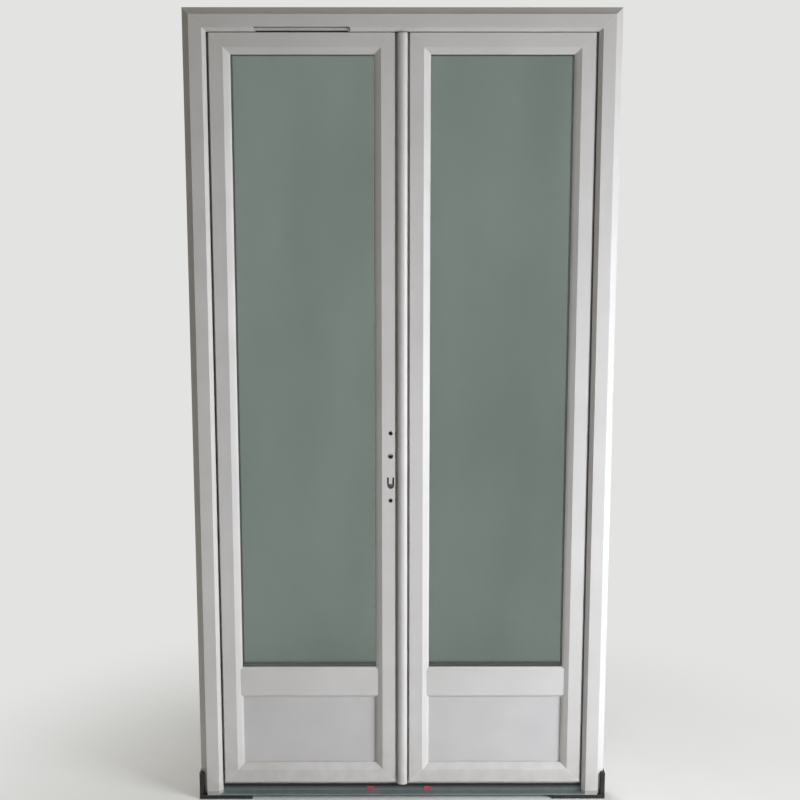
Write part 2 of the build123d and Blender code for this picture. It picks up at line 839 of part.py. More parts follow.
# Hinges: a half on the frame, a half on the leaf and a pin, three times for each leaf
hinge_low = hinge_from_bottom
hinge_high = frame_height - hinge_from_top
hinge_heights = (hinge_low, (hinge_low + hinge_high) / 2, hinge_high)
for name, turn in (("left", -1), ("right", 1)):
    frame_halves, leaf_halves, pins = [], [], []
    for height in hinge_heights:
        low_z = ground + height
        high_z = low_z + knuckle_length
        axis_point = (turn * hinge_x, hinge_depth)
        near_x = turn * (hinge_x + knuckle_radius + hinge_plate_gap)
        far_x = near_x + turn * hinge_plate_width
        with BuildPart() as frame_half:
            with BuildSketch(Plane((0, front_face, low_z))):
                with BuildLine():
                    Polyline(
                        (near_x, frame_depth),
                        (far_x, frame_depth),
                        (far_x, frame_depth + hinge_plate),
                        (near_x + turn * hinge_arm_width, frame_depth + hinge_plate),
                        (turn * (hinge_x + knuckle_radius), hinge_depth),
                        (turn * hinge_x, hinge_depth),
                        (near_x, frame_depth + hinge_plate),
                        close=True,
                    )
                make_face()
                with Locations(axis_point):
                    Circle(knuckle_radius)
                    Circle(pin_radius + pin_fit, mode=Mode.SUBTRACT)
            extrude(amount=knuckle_length)
        frame_halves.append(frame_half.part)
        edge = turn * (leaf_outer + overlap)
        with BuildPart() as leaf_half:
            with BuildSketch(Plane((0, front_face, high_z + knuckle_gap))):
                with BuildLine():
                    Polyline(
                        (edge - turn * (hinge_plate_width + hinge_arm_width), leaf_back),
                        (edge, leaf_back),
                        (turn * hinge_x, hinge_depth - knuckle_radius + hinge_tuck),
                        (turn * hinge_x, hinge_depth),
                        (edge - turn * hinge_arm_width, leaf_back + hinge_plate),
                        (edge - turn * (hinge_plate_width + hinge_arm_width), leaf_back + hinge_plate),
                        close=True,
                    )
                make_face()
                with Locations(axis_point):
                    Circle(knuckle_radius)
                    Circle(pin_radius + pin_clearance, mode=Mode.SUBTRACT)
            extrude(amount=knuckle_length)
        leaf_halves.append(leaf_half.part)
        with BuildPart() as pin:
            with BuildSketch(Plane((0, front_face, low_z))):
                with Locations(axis_point):
                    Circle(pin_radius)
            extrude(amount=2 * knuckle_length)
        pins.append(pin.part)
    write(joined(frame_halves), f"{name}_frame_hinges")
    write(joined(leaf_halves), f"{name}_leaf_hinges")
    write(joined(pins), f"{name}_hinge_pins")

# Lock: case, faceplate, pinion, two rods and a deadbolt
case_x, case_depths, case_z = case_box
cavity_x = (case_x[0] + case_wall, case_x[1] - case_wall)
cavity_depths = (case_depths[0] + case_wall, case_depths[1] - case_wall)
cavity_z = (case_z[0] + case_wall, case_z[1] - case_wall)
rod_opening = (rod_x - rod_thickness / 2 - rod_clearance, case_x[1])
rod_depths = (
    groove_depth_centre - rod_width / 2 - rod_clearance,
    groove_depth_centre + rod_width / 2 + rod_clearance,
)
bolt_depths = (
    groove_depth_centre - deadbolt_width / 2 - bolt_clearance,
    groove_depth_centre + deadbolt_width / 2 + bolt_clearance,
)
bolt_z = (
    cylinder_z - deadbolt_height / 2 - bolt_clearance,
    cylinder_z + deadbolt_height / 2 + bolt_clearance,
)
with BuildPart() as lock_case:
    add(block(case_x, case_depths, case_z))
    add(block(cavity_x, cavity_depths, cavity_z), mode=Mode.SUBTRACT)
    add(block(rod_opening, rod_depths, (case_z[0], case_z[1])), mode=Mode.SUBTRACT)
    add(block((cavity_x[1], case_x[1]), bolt_depths, bolt_z), mode=Mode.SUBTRACT)
    with BuildSketch(wall_plane(case_depths[0])):
        with Locations((spindle_x, spindle_z)):
            Circle(journal_radius + journal_clearance)
    extrude(amount=-case_thickness, mode=Mode.SUBTRACT)
    extrude(cylinder_hole(case_depths[0]), amount=-case_thickness, mode=Mode.SUBTRACT)
write(lock_case.part, "lock_case")

plate_x = edge_x - plate_groove_depth + (plate_groove_depth - faceplate_thickness) / 2
with BuildPart() as faceplate:
    with BuildSketch(Plane((plate_x, front_face, 0), x_dir=(0, 1, 0), z_dir=(1, 0, 0))):
        with Locations((groove_depth_centre, (leaf_bottom + leaf_top) / 2)):
            SlotOverall(leaf_top - leaf_bottom - 2 * faceplate_end_gap, faceplate_width, rotation=90)
        with Locations((groove_depth_centre, cylinder_z)):
            Rectangle(
                deadbolt_width + 2 * bolt_clearance,
                deadbolt_height + 2 * bolt_clearance,
                mode=Mode.SUBTRACT,
            )
    extrude(amount=faceplate_thickness)
write(faceplate.part, "lock_faceplate")

# Teeth of the pinion and the racks, with a little play on each flank
flank = radians(pressure_angle)
addendum = rack_pitch / pi
dedendum = tooth_root_depth * addendum
tooth_half = rack_pitch / 4 - tooth_play
pinion_tip = pinion_radius + addendum


def tooth_angle(radius):
    """Half the angle that a pinion tooth takes at a radius, along its involute flank"""
    base_radius = pinion_radius * cos(flank)
    slope = acos(min(1, base_radius / radius))
    return tooth_half / pinion_radius + (tan(flank) - flank) - (tan(slope) - slope)


def pinion_outline():
    """Outline of the pinion round its middle, with a tooth that points straight at the near rack"""
    base_radius = pinion_radius * cos(flank)
    radii = [pinion_radius - dedendum, base_radius, (base_radius + pinion_tip) / 2, pinion_tip]
    one_tooth = [(radius, -tooth_angle(radius)) for radius in radii]
    one_tooth += [(radius, tooth_angle(radius)) for radius in reversed(radii)]
    return [
        (radius * cos(angle + turned), radius * sin(angle + turned))
        for turned in [2 * pi * tooth / pinion_teeth for tooth in range(pinion_teeth)]
        for radius, angle in one_tooth
    ]


def rack_outline(away, low_z, high_z, tooth_centres):
    """Outline of a rack beside the pinion, with its teeth towards it and its back away from it"""
    pitch_x = spindle_x + away * pinion_radius
    tip_x, root_x = pitch_x - away * addendum, pitch_x + away * dedendum
    back_x = root_x + away * rack_thickness
    tip_half = tooth_half - addendum * tan(flank)
    root_half = tooth_half + dedendum * tan(flank)
    points = [(back_x, high_z), (back_x, low_z), (root_x, low_z)]
    for centre in tooth_centres:
        points += [
            (root_x, centre - root_half),
            (tip_x, centre - tip_half),
            (tip_x, centre + tip_half),
            (root_x, centre + root_half),
        ]
    return [*points, (root_x, high_z)]


with BuildPart() as pinion:
    spindle_start = Plane(
        (spindle_x, front_face + case_depths[0], spindle_z), x_dir=(1, 0, 0), z_dir=(0, -1, 0)
    )
    with BuildSketch(spindle_start.offset(-(case_thickness - pinion_thickness) / 2)):
        with BuildLine():
            Polyline(*pinion_outline(), close=True)
        make_face()
    extrude(amount=-pinion_thickness)
    with BuildSketch(spindle_start):
        Circle(journal_radius)
    extrude(amount=-case_thickness)
    with BuildSketch(spindle_start):
        Rectangle(square_hole, square_hole)
    extrude(amount=-case_thickness, mode=Mode.SUBTRACT)
write(pinion.part, "lock_pinion")

# Each rack has teeth for its whole travel, and an arm that joins it to its rod
teeth_ahead = 2
teeth_behind = ceil(rod_travel / rack_pitch) + 1
far_shift = (pinion_teeth % 2) / 2
near_teeth = [spindle_z + (place + 0.5) * rack_pitch for place in range(-teeth_behind, teeth_ahead)]
far_teeth = [
    spindle_z + (place - 0.5 + far_shift) * rack_pitch for place in range(1 - teeth_ahead, teeth_behind + 1)
]
rod_x_range = (rod_x - rod_thickness / 2, rod_x + rod_thickness / 2)
rod_depth_range = (groove_depth_centre - rod_width / 2, groove_depth_centre + rod_width / 2)
leaf_edge_top = leaf_top + landing
leaf_edge_bottom = leaf_bottom - landing
rack_depths = (groove_depth_centre - pinion_thickness / 2, groove_depth_centre + pinion_thickness / 2)
arm_low = spindle_z + pinion_tip + rod_clearance
arm_z = (arm_low, arm_low + arm_height)
foot_low = cavity_z[0] + rod_travel + rod_clearance
foot_z = (foot_low, foot_low + foot_height)
near_root_x = spindle_x + pinion_radius + dedendum
far_root_x = spindle_x - pinion_radius - dedendum
rack_reach = (teeth_behind + far_shift) * rack_pitch
near_rack = rack_outline(1, spindle_z - rack_reach, arm_z[1], near_teeth)
far_rack = rack_outline(-1, foot_z[0], spindle_z + rack_reach, far_teeth)
for name, rod_z, arm_start, arm_range, rack in (
    ("drive_rod_upper", (arm_z[0], leaf_edge_top), near_root_x, arm_z, near_rack),
    ("drive_rod_lower", (leaf_edge_bottom, foot_z[1]), far_root_x, foot_z, far_rack),
):
    with BuildPart() as drive_rod:
        with BuildSketch(wall_plane(rack_depths[0])):
            with BuildLine():
                Polyline(*rack, close=True)
            make_face()
        extrude(amount=-pinion_thickness)
        add(block(rod_x_range, rod_depth_range, rod_z))
        add(block((arm_start, rod_x_range[1]), rack_depths, arm_range))
    write(drive_rod.part, name)

deadbolt_front = plate_x + faceplate_thickness
deadbolt = block(
    (deadbolt_front - deadbolt_throw - deadbolt_hold, deadbolt_front),
    (groove_depth_centre - deadbolt_width / 2, groove_depth_centre + deadbolt_width / 2),
    (cylinder_z - deadbolt_height / 2, cylinder_z + deadbolt_height / 2),
)
write(deadbolt, "deadbolt")

# Bolts of the right leaf, which slide in its edge groove behind the cover strip's leg
bolt_x_range = (-rod_x_range[1], -rod_x_range[0])
for name, z_range in (
    ("shoot_bolt_upper", (leaf_edge_top - shoot_bolt_length, leaf_edge_top)),
    ("shoot_bolt_lower", (leaf_edge_bottom, leaf_edge_bottom + shoot_bolt_length)),
):
    write(block(bolt_x_range, rod_depth_range, z_range), name)
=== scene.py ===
import bpy
import bmesh
import json
from math import cos, pi, radians, sin, sqrt
from mathutils import Matrix, Vector


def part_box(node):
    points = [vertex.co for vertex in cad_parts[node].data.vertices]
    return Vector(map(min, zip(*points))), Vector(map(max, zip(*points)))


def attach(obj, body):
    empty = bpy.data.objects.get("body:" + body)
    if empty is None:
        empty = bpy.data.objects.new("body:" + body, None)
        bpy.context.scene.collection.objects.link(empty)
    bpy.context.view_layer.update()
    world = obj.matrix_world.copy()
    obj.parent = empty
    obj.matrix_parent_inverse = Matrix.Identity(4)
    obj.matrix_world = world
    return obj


# White French doors in their frame, seen from outside: finishes, weld seams, screws and hinge caps
# Everything is in metres: X across the doors, Y into the room, Z up from the ground
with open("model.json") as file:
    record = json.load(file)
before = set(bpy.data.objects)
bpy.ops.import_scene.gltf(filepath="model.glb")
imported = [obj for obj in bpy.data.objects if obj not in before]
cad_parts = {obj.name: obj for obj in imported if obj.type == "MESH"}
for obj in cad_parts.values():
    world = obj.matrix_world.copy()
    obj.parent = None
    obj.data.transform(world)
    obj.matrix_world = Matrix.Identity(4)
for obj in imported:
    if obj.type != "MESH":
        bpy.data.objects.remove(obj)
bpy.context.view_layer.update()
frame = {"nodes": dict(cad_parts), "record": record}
MM = 0.001

# Camera: the place and angle from which the doors are seen
CAMERA_PLACE = (-0.015, -3.650, 1.786)
CAMERA_TILT = radians(-9.33)
CAMERA_TURN = radians(0.13)
CAMERA_LENS = 58.5
CAMERA_SENSOR = 36

# Profile outlines that the weld seams follow: (reach from the outer edge, depth from the front), in mm
FRAME_FRONT = [(0, 24), (20, 6), (20, 0), (55, 0), (65, 10)]
LEAF_FRONT = [(0, 10), (37.5, 10), (50.7, 17), (56.5, 21.5)]
LEAF_BACK = [(38.5, 84), (-34.5, 84)]
MEETING_BACK = [(38.5, 84), (4.5, 84)]
# The leaf's inner flange reaches this far past the edge of its outer face
FLANGE_REACH = 34.5 * MM

# Scraped weld: its reach along each bar, how far it stands proud, and how far its edges clear the bars
SEAM_WIDTH = 1.5 * MM
SEAM_RISE = 0.35 * MM
SEAM_LIFT = 0.02 * MM

# Typical refractive indices of the materials
PVC_IOR = 1.53
GLASS_IOR = 1.52
PLASTIC_IOR = 1.5
RUBBER_IOR = 1.5

# Noise seldom leaves this span, so it is stretched from here to the values that a finish asks for
NOISE_LOW, NOISE_HIGH = 0.3, 0.7


def hex_color(code):
    """sRGB hex as a linear colour with full alpha"""
    channels = [int(code[i : i + 2], 16) / 255 for i in (1, 3, 5)]
    linear = [c / 12.92 if c <= 0.04045 else ((c + 0.055) / 1.055) ** 2.4 for c in channels]
    return (*linear, 1.0)


def add_node(tree, kind, settings=(), inputs=(), links=()):
    """Adds a node, with its own settings, the values of its inputs and the sockets linked to them"""
    node = tree.nodes.new(kind)
    for key, value in dict(settings).items():
        setattr(node, key, value)
    for key, value in dict(inputs).items():
        node.inputs[key].default_value = value
    for key, socket in dict(links).items():
        tree.links.new(socket, node.inputs[key])
    return node


def new_material(name):
    """Empty material with its shader and output, and the object's own coordinates"""
    material = bpy.data.materials.new(name)
    material.use_nodes = True
    tree = material.node_tree
    tree.nodes.clear()
    shader = add_node(tree, "ShaderNodeBsdfPrincipled")
    add_node(tree, "ShaderNodeOutputMaterial", links={"Surface": shader.outputs[0]})
    place = add_node(tree, "ShaderNodeTexCoord").outputs["Object"]
    return material, tree, shader, place


def noise_between(tree, place, size_mm, low=0.0, high=1.0, stretch=(1, 1, 1), detail=2.0):
    """Noise whose blotches are size_mm wide, mapped to run from low to high"""
    spot = add_node(
        tree,
        "ShaderNodeMapping",
        inputs={"Scale": [1 / (size_mm * MM * s) for s in stretch]},
        links={"Vector": place},
    )
    noise = add_node(
        tree,
        "ShaderNodeTexNoise",
        inputs={"Scale": 1.0, "Detail": detail},
        links={"Vector": spot.outputs[0]},
    )
    span = add_node(
        tree,
        "ShaderNodeMapRange",
        inputs={"From Min": NOISE_LOW, "From Max": NOISE_HIGH, "To Min": low, "To Max": high},
        links={"Value": noise.outputs["Fac"]},
    )
    return span.outputs[0]


def mixed(tree, factor, first, second):
    """Colour between two, by a factor socket; each colour is a hex code or a socket"""
    node = add_node(tree, "ShaderNodeMix", {"data_type": "RGBA"}, links={0: factor})
    for slot, color in ((6, first), (7, second)):
        if isinstance(color, str):
            node.inputs[slot].default_value = hex_color(color)
        else:
            tree.links.new(color, node.inputs[slot])
    return node.outputs[2]


def bumped(tree, shader, height, depth_mm, normal=None):
    """Fine relief of that depth on the shader's surface"""
    bump = add_node(
        tree,
        "ShaderNodeBump",
        inputs={"Strength": 1.0, "Distance": depth_mm * MM},
        links={"Height": height},
    )
    if normal is not None:
        tree.links.new(normal, bump.inputs["Normal"])
    tree.links.new(bump.outputs[0], shader.inputs["Normal"])


def height_above_ground(tree, place):
    """Height of the surface point, as a socket"""
    return add_node(tree, "ShaderNodeSeparateXYZ", links={0: place}).outputs["Z"]


def product(tree, first, second):
    """Product of two sockets"""
    node = add_node(tree, "ShaderNodeMath", {"operation": "MULTIPLY"}, links={0: first, 1: second})
    return node.outputs[0]


# Die lines run along the bar, and are drawn 60 times as long as they are wide
DIE_LINES = {"along_x": (60, 1, 1), "along_z": (1, 1, 60), "even": (1, 1, 1)}
EDGE_ROUNDING = 0.6 * MM
DUST_HEIGHT = 260 * MM


def white_pvc(name, direction):
    """Extruded rigid PVC: satin white, with die lines along the bar and dust towards the ground"""
    material, tree, shader, place = new_material(name)
    cloud = noise_between(tree, place, size_mm=160)
    tone = mixed(tree, cloud, "#d6d4d3", "#cfcdcb")
    low_down = add_node(
        tree,
        "ShaderNodeMapRange",
        {"interpolation_type": "SMOOTHSTEP"},
        inputs={"From Min": 0.0, "From Max": DUST_HEIGHT, "To Min": 1.0, "To Max": 0.0},
        links={"Value": height_above_ground(tree, place)},
    )
    dust = noise_between(tree, place, size_mm=35, high=0.5, detail=6.0)
    tone = mixed(tree, product(tree, low_down.outputs[0], dust), tone, "#b7b1a8")
    tree.links.new(tone, shader.inputs["Base Color"])
    gloss = noise_between(tree, place, size_mm=90, low=0.4, high=0.52)
    tree.links.new(gloss, shader.inputs["Roughness"])
    shader.inputs["IOR"].default_value = PVC_IOR
    # The edges of the real profile are rounded by about half a millimetre
    edge = add_node(tree, "ShaderNodeBevel", {"samples": 4}, {"Radius": EDGE_ROUNDING})
    # Die lines are a few hundredths deep and are drawn 2 mm apart, so that they show
    lines = noise_between(tree, place, size_mm=2.0, stretch=DIE_LINES[direction])
    bumped(tree, shader, lines, depth_mm=0.02, normal=edge.outputs[0])
    return material


def white_panel(name):
    """PVC sheet of the insulated panel: satin white with a fine orange peel"""
    material, tree, shader, place = new_material(name)
    cloud = noise_between(tree, place, size_mm=120)
    tree.links.new(mixed(tree, cloud, "#cfcdcd", "#c9c7c7"), shader.inputs["Base Color"])
    gloss = noise_between(tree, place, size_mm=60, low=0.42, high=0.55)
    tree.links.new(gloss, shader.inputs["Roughness"])
    shader.inputs["IOR"].default_value = PVC_IOR
    peel = noise_between(tree, place, size_mm=3.0, detail=1.0)
    bumped(tree, shader, peel, depth_mm=0.03)
    return material


def tinted_glass(name):
    """Float glass with a grey green body tint, clear, with a thin film of dust in long patches"""
    material, tree, shader, place = new_material(name)
    film = noise_between(tree, place, size_mm=220, stretch=(1, 1, 3), detail=4.0)
    tree.links.new(mixed(tree, film, "#aab4af", "#b4bdb9"), shader.inputs["Base Color"])
    shader.inputs["Transmission Weight"].default_value = 1.0
    shader.inputs["Roughness"].default_value = 0.0
    shader.inputs["IOR"].default_value = GLASS_IOR
    return material


def soft_rubber(name, tone, bloom):
    """EPDM rubber: matt, with a pale bloom in patches"""
    material, tree, shader, place = new_material(name)
    cloud = noise_between(tree, place, size_mm=25, detail=5.0)
    tree.links.new(mixed(tree, cloud, tone, bloom), shader.inputs["Base Color"])
    gloss = noise_between(tree, place, size_mm=12, low=0.6, high=0.8)
    tree.links.new(gloss, shader.inputs["Roughness"])
    shader.inputs["IOR"].default_value = RUBBER_IOR
    bumped(tree, shader, noise_between(tree, place, size_mm=1.5), depth_mm=0.05)
    return material


def gasket_rubber(name, change_height):
    """Glazing gasket: co-extruded pale round the panel, and dark round the glass above a height"""
    material, tree, shader, place = new_material(name)
    above = add_node(
        tree,
        "ShaderNodeMath",
        {"operation": "GREATER_THAN"},
        inputs={1: change_height},
        links={0: height_above_ground(tree, place)},
    )
    cloud = noise_between(tree, place, size_mm=25)
    pale = mixed(tree, cloud, "#c6c4c1", "#bdbbb8")
    dark = mixed(tree, cloud, "#2e3232", "#3a3e3d")
    tree.links.new(mixed(tree, above.outputs[0], pale, dark), shader.inputs["Base Color"])
    shader.inputs["Roughness"].default_value = 0.62
    shader.inputs["IOR"].default_value = RUBBER_IOR
    bumped(tree, shader, noise_between(tree, place, size_mm=1.5), depth_mm=0.03)
    return material


# Painted shade under the leaves: it begins at the foot of the threshold's stop and is full near its top
STOP_SHADE_START = 17 * MM
STOP_SHADE_FULL = 33 * MM
STOP_SHADE_SHARE = 0.94


def extruded_aluminium(name):
    """Mill finish aluminium extrusion: drawn lines along X, with painted shade darkening the stop under
    the leaves
    """
    material, tree, shader, place = new_material(name)
    lines = noise_between(tree, place, size_mm=1.2, stretch=(120, 1, 1))
    tone = mixed(tree, lines, "#8f9a9b", "#9ca7a7")
    dust = noise_between(tree, place, size_mm=30, high=0.35, detail=6.0)
    tone = mixed(tree, dust, tone, "#767b79")
    # Painted shade: the stop is darkened with height, standing in for the shadow under the leaves
    stop_shade = add_node(
        tree,
        "ShaderNodeMapRange",
        inputs={
            "From Min": STOP_SHADE_START,
            "From Max": STOP_SHADE_FULL,
            "To Min": 0.0,
            "To Max": STOP_SHADE_SHARE,
        },
        links={"Value": height_above_ground(tree, place)},
    )
    tree.links.new(mixed(tree, stop_shade.outputs[0], tone, "#26292a"), shader.inputs["Base Color"])
    # Dust and oxide dull the bare metal, so it is only partly metallic
    shader.inputs["Metallic"].default_value = 0.7
    gloss = noise_between(tree, place, size_mm=20, low=0.38, high=0.55)
    tree.links.new(gloss, shader.inputs["Roughness"])
    bumped(tree, shader, lines, depth_mm=0.02)
    return material


def rolled_metal(name, first, second, roughness):
    """Rolled steel or aluminium: slightly blotched, with rolling marks up the bar"""
    material, tree, shader, place = new_material(name)
    cloud = noise_between(tree, place, size_mm=14, stretch=(1, 1, 3), detail=4.0)
    tree.links.new(mixed(tree, cloud, first, second), shader.inputs["Base Color"])
    shader.inputs["Metallic"].default_value = 1.0
    gloss = noise_between(tree, place, size_mm=9, low=roughness, high=roughness + 0.14)
    tree.links.new(gloss, shader.inputs["Roughness"])
    marks = noise_between(tree, place, size_mm=1.0, stretch=(1, 1, 20))
    bumped(tree, shader, marks, depth_mm=0.01)
    return material


def moulded_plastic(name, first, second, roughness=0.5):
    """Moulded plastic: even colour, with the fine grain of a spark-eroded mould"""
    material, tree, shader, place = new_material(name)
    cloud = noise_between(tree, place, size_mm=12)
    tree.links.new(mixed(tree, cloud, first, second), shader.inputs["Base Color"])
    gloss = noise_between(tree, place, size_mm=8, low=roughness - 0.06, high=roughness + 0.06)
    tree.links.new(gloss, shader.inputs["Roughness"])
    shader.inputs["IOR"].default_value = PLASTIC_IOR
    bumped(tree, shader, noise_between(tree, place, size_mm=1.0), depth_mm=0.02)
    return material


def powder_coat(name):
    """White powder coat on the hinges: slight orange peel, a little glossier than the profile"""
    material, tree, shader, place = new_material(name)
    cloud = noise_between(tree, place, size_mm=20)
    tree.links.new(mixed(tree, cloud, "#dcdbd9", "#d6d5d3"), shader.inputs["Base Color"])
    gloss = noise_between(tree, place, size_mm=8, low=0.25, high=0.38)
    tree.links.new(gloss, shader.inputs["Roughness"])
    shader.inputs["Coat Weight"].default_value = 0.2
    bumped(tree, shader, noise_between(tree, place, size_mm=1.6), depth_mm=0.03)
    return material


finishes = {
    "profile_white": white_pvc("extruded_pvc", "even"),
    "panel_white": white_panel("extruded_pvc_sheet"),
    # End caps of the cover strip: satin ASA, a little warmer than the white profile
    "cap_plastic": moulded_plastic("moulded_asa", "#d3c4bb", "#c9b9b0"),
    "glass": tinted_glass("tinted_float_glass"),
    "seal_rubber": soft_rubber("extruded_epdm", "#46403c", "#544d48"),
    "boot_rubber": soft_rubber("moulded_epdm", "#19191b", "#2b2a2a"),
    "threshold_aluminium": extruded_aluminium("extruded_aluminium"),
    # End blocks under the jambs: polyamide, matt and mid grey
    "end_block_plastic": moulded_plastic("moulded_polyamide", "#b1b0ad", "#a5a39f"),
    # Packers: polystyrene coloured right through, so the pink is even
    "packer_plastic": moulded_plastic("moulded_polystyrene", "#b9505f", "#ad4857"),
    # Bars in the chambers: a dull zinc coat, mottled grey
    "zinc_steel": rolled_metal("galvanised_steel", "#aeb1b3", "#9da1a4", 0.32),
    # Spacer between the panes: matt and pale
    "spacer_aluminium": rolled_metal("rolled_aluminium", "#b9bbbb", "#adafaf", 0.4),
    # Setting blocks under the panes: polypropylene, matt blue
    "block_plastic": moulded_plastic("moulded_polypropylene", "#3a5c93", "#33527f"),
    "hinge_white": powder_coat("white_powder_coat"),
    # Lock, bolts, keeps and screws: bright zinc plate, the shiniest metal here
    "lock_steel": rolled_metal("zinc_plated_steel", "#b7b8b6", "#a9aaa6", 0.22),
}
upright_pvc = white_pvc("extruded_pvc_upright", "along_z")
level_pvc = white_pvc("extruded_pvc_level", "along_x")
# The scraped weld is a little paler and smoother than the drawn skin of the bars
weld_pvc = moulded_plastic("scraped_weld_pvc", "#dcdad8", "#d4d2cf", 0.3)
rail_low, rail_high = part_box("left_mid_rail")
gasket_pair = gasket_rubber("coextruded_epdm", (rail_low.z + rail_high.z) / 2)
UPRIGHT_BARS = ("stile", "jamb_left", "jamb_right", "astragal")
LEVEL_BARS = ("rail", "frame_head")

for subpart in frame["record"]["subparts"]:
    node = frame["nodes"][subpart["node"]]
    finish = finishes[subpart["material_slot"]]
    if subpart["material_slot"] == "profile_white":
        if node.name.endswith(UPRIGHT_BARS):
            finish = upright_pvc
        elif node.name.endswith(LEVEL_BARS):
            finish = level_pvc
    elif node.name.endswith("glazing_gaskets"):
        finish = gasket_pair
    node.data.materials.clear()
    node.data.materials.append(finish)


def finished(name, mesh, material, body, smooth=False):
    """Object from a bmesh, with its finish, riding on a body"""
    data = bpy.data.meshes.new(name)
    bmesh.ops.recalc_face_normals(mesh, faces=mesh.faces)
    mesh.to_mesh(data)
    mesh.free()
    for polygon in data.polygons:
        polygon.use_smooth = smooth
    data.materials.append(material)
    piece = bpy.data.objects.new(name, data)
    bpy.context.scene.collection.objects.link(piece)
    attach(piece, body)


# Weld seams: where two bars meet at a mitre, the scraped weld stands a hair proud
front_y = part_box("frame_head")[0].y
frame_low, frame_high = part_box("frame_jamb_left")[0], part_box("frame_jamb_right")[1]


def seam(mesh, corner, inward, outline):
    """One seam along a profile outline, from a corner (x, z) inwards"""
    turn_x, turn_z = inward
    rows = []
    for i, (reach, depth) in enumerate(outline):
        before, after = outline[max(i - 1, 0)], outline[min(i + 1, len(outline) - 1)]
        run, drop = after[0] - before[0], after[1] - before[1]
        length = sqrt(run * run + drop * drop)
        # Way out of the bar's face at this point, along the reach and along the depth
        out_reach, out_depth = drop / length, -run / length
        x = corner[0] + turn_x * reach * MM
        y = front_y + depth * MM
        z = corner[1] + turn_z * reach * MM
        out_x, out_z = turn_x * out_reach, turn_z * out_reach
        edge_y = y + out_depth * SEAM_LIFT
        stile_side = (x + out_x * SEAM_LIFT, edge_y, z + turn_z * SEAM_WIDTH)
        middle = (x + out_x * SEAM_RISE, y + out_depth * SEAM_RISE, z + out_z * SEAM_RISE)
        rail_side = (x + turn_x * SEAM_WIDTH, edge_y, z + out_z * SEAM_LIFT)
        rows.append([mesh.verts.new(point) for point in (stile_side, middle, rail_side)])
    for first, second in zip(rows, rows[1:]):
        for side in (0, 1):
            mesh.faces.new((first[side], first[side + 1], second[side + 1], second[side]))


frame_seams = bmesh.new()
for corner_x, turn in ((frame_low.x, 1), (frame_high.x, -1)):
    seam(frame_seams, (corner_x, frame_high.z), (turn, -1), FRAME_FRONT)
finished("frame_weld_seams", frame_seams, weld_pvc, "frame")

for side, turn, meeting_back in (("left", 1, LEAF_BACK), ("right", -1, MEETING_BACK)):
    stile_low, stile_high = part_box(f"{side}_hinge_stile")
    hinge_x = stile_low.x + FLANGE_REACH if side == "left" else stile_high.x - FLANGE_REACH
    meeting_x = turn * (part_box("left_meeting_stile")[1].x - FLANGE_REACH)
    seams = bmesh.new()
    for corner_z, rise in ((stile_low.z + FLANGE_REACH, 1), (stile_high.z - FLANGE_REACH, -1)):
        seam(seams, (hinge_x, corner_z), (turn, rise), LEAF_FRONT)
        seam(seams, (hinge_x, corner_z), (turn, rise), LEAF_BACK)
        seam(seams, (meeting_x, corner_z), (-turn, rise), LEAF_FRONT)
        seam(seams, (meeting_x, corner_z), (-turn, rise), meeting_back)
    finished(f"{side}_leaf_weld_seams", seams, weld_pvc, f"{side}_leaf")

# Countersunk screws with a cross recess
SCREW_RADIUS = 3.4 * MM
SCREW_RISE = 0.5 * MM
SCREW_SIDES = 24
# Rings of the head's dome, as shares of its radius and of its rise
SCREW_DOME = ((1.0, 0.0), (0.94, 0.6), (0.75, 1.0))
CROSS_ARM = 0.5 * SCREW_RADIUS
CROSS_HALF = 0.13 * SCREW_RADIUS


def screw_head(mesh, centre, outward):
    """Countersunk cross head: a low dome with a cross pressed into it"""
    turned = Vector(outward).to_track_quat("Z", "Y").to_matrix().to_4x4()
    placed = Matrix.Translation(centre) @ turned
    angles = [2 * pi * i / SCREW_SIDES for i in range(SCREW_SIDES)]
    cross = [
        (CROSS_HALF, CROSS_HALF),
        (CROSS_HALF, CROSS_ARM),
        (-CROSS_HALF, CROSS_ARM),
        (-CROSS_HALF, CROSS_HALF),
        (-CROSS_ARM, CROSS_HALF),
        (-CROSS_ARM, -CROSS_HALF),
    ]
    cross += [(-x, -y) for x, y in cross]
    rings = []
    for radius_share, rise_share in SCREW_DOME:
        r, level = radius_share * SCREW_RADIUS, rise_share * SCREW_RISE
        rings.append([(r * cos(angle), r * sin(angle), level) for angle in angles])
    rings.append([(x, y, SCREW_RISE) for x, y in cross])
    rings.append([(x, y, -SCREW_RISE) for x, y in cross])
    loops = []
    for points in rings:
        verts = [mesh.verts.new(placed @ Vector(point)) for point in points]
        loops.append([mesh.edges.new((verts[i], verts[i - 1])) for i in range(len(verts))])
        bottom = verts
    for first, second in zip(loops, loops[1:]):
        bmesh.ops.bridge_loops(mesh, edges=first + second)
    mesh.faces.new(bottom)


def screws(name, body, places, outward):
    """Row of screw heads on one piece"""
    mesh = bmesh.new()
    for place in places:
        screw_head(mesh, place, outward)
    finished(name, mesh, finishes["lock_steel"], body)


# Screws of the faceplate, as shares of its length from the bottom
FACEPLATE_SHARES = (0.012, 0.14, 0.27, 0.385, 0.52, 0.66, 0.8, 0.988)
# Screws of the strike plate and of the keeps, from their ends
PLATE_INSET = 9 * MM
plate_low, plate_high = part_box("lock_faceplate")
plate_y = (plate_low.y + plate_high.y) / 2
plate_heights = [plate_low.z + share * (plate_high.z - plate_low.z) for share in FACEPLATE_SHARES]
screws("faceplate_screws", "left_leaf", [(plate_high.x, plate_y, z) for z in plate_heights], (1, 0, 0))
strike_low, strike_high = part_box("strike_plate")
strike_heights = (strike_low.z + PLATE_INSET, strike_high.z - PLATE_INSET)
screws("strike_screws", "right_leaf", [(strike_low.x, plate_y, z) for z in strike_heights], (-1, 0, 0))
